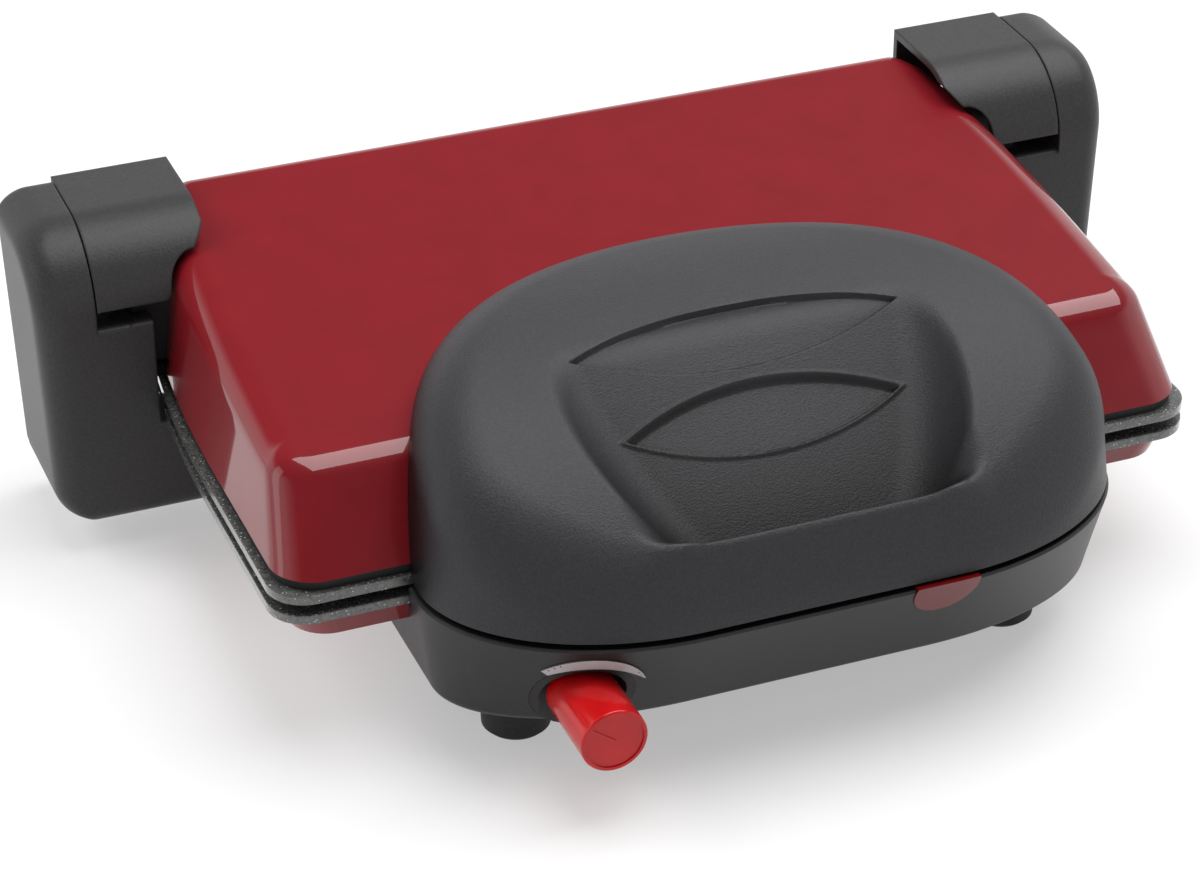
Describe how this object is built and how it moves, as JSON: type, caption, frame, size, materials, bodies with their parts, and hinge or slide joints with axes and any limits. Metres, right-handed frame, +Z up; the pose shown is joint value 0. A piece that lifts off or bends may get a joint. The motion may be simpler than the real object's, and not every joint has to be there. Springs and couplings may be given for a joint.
{
  "type": "contact grill",
  "caption": "Countertop contact grill with ribbed plates, a lid that floats and opens flat on two rear posts, a front grip and a thermostat knob.",
  "frame": {"origin": "centre of the footprint at table level", "axes": "+X to the viewer's right, +Y to the rear hinge, +Z up"},
  "size_m": [0.427, 0.284, 0.126],
  "materials": {
    "red_lacquer": "deep glossy red lacquer on the lid and the base pan",
    "handle_charcoal": "charcoal plastic with a fine moulded grain",
    "housing_grey": "dark grey plastic, fine satin",
    "post_grey": "dark grey satin plastic",
    "inner_black": "plain black heat-resistant plastic",
    "granite_coat": "cast aluminium with a dark speckled granite-look coat",
    "element_steel": "dull steel sheath",
    "reflector_sheet": "bright pressed sheet",
    "screw_steel": "zinc-plated steel",
    "knob_red": "translucent red plastic, polished",
    "lens_red": "translucent red lens",
    "dial_silver": "silver printed crescent",
    "lamp_glass": "clear glow lamp",
    "ceramic_white": "white steatite",
    "foot_rubber": "black rubber"
  },
  "bodies": {
    "base": {"base_shell": "red_lacquer", "base_hatch": "inner_black", "hatch_screws": "screw_steel", "front_housing": "housing_grey", "housing_floor": "inner_black", "indicator_lens": "lens_red", "indicator_lamp": "lamp_glass", "lamp_holder": "inner_black", "dial_bezel": "inner_black", "dial_scale": "dial_silver", "thermostat": "ceramic_white", "hinge_post_right": "post_grey", "hinge_post_left": "post_grey", "post_back_cover_right": "post_grey", "post_back_cover_left": "post_grey", "rear_beam": "post_grey", "cord_grommet": "foot_rubber", "terminal_block": "ceramic_white", "lower_plate": "granite_coat", "lower_element": "element_steel", "lower_reflector": "reflector_sheet", "lower_plate_screws": "screw_steel", "thermal_fuse": "ceramic_white", "foot_front_left": "foot_rubber", "foot_front_right": "foot_rubber", "foot_rear_left": "foot_rubber", "foot_rear_right": "foot_rubber", "foot_screws": "screw_steel", "post_screws": "screw_steel"},
    "hinge_floats": {"hinge_pin_right": "screw_steel", "hinge_pin_left": "screw_steel", "hinge_slider_right": "inner_black", "hinge_slider_left": "inner_black"},
    "lid": {"lid_shell": "red_lacquer", "lid_rear_panel": "inner_black", "lid_frame": "inner_black", "upper_plate": "granite_coat", "upper_element": "element_steel", "upper_reflector": "reflector_sheet", "upper_plate_screws": "screw_steel", "handle_shell": "handle_charcoal", "handle_cover": "inner_black", "handle_screws": "screw_steel", "hinge_arm_right": "inner_black", "hinge_arm_left": "inner_black", "arm_screws": "screw_steel", "hinge_cover_right": "post_grey", "hinge_cover_left": "post_grey"},
    "knob": {"thermostat_knob": "knob_red", "knob_shaft": "screw_steel"}
  },
  "joints": [
    {"name": "hinge_float", "type": "slide", "parent": "base", "child": "hinge_floats", "axis": [0, 0, 1], "range_m": [0, 0.015]},
    {"name": "lid_hinge", "type": "hinge", "parent": "hinge_floats", "child": "lid", "pos_m": [0, 0.128, 0.064], "axis": [-1, 0, 0], "range_deg": [0, 180]},
    {"name": "thermostat_turn", "type": "hinge", "parent": "base", "child": "knob", "pos_m": [-0.0827, -0.11, 0.0346], "axis": [0, 1, 0], "range_deg": [0, 130]}
  ]
}
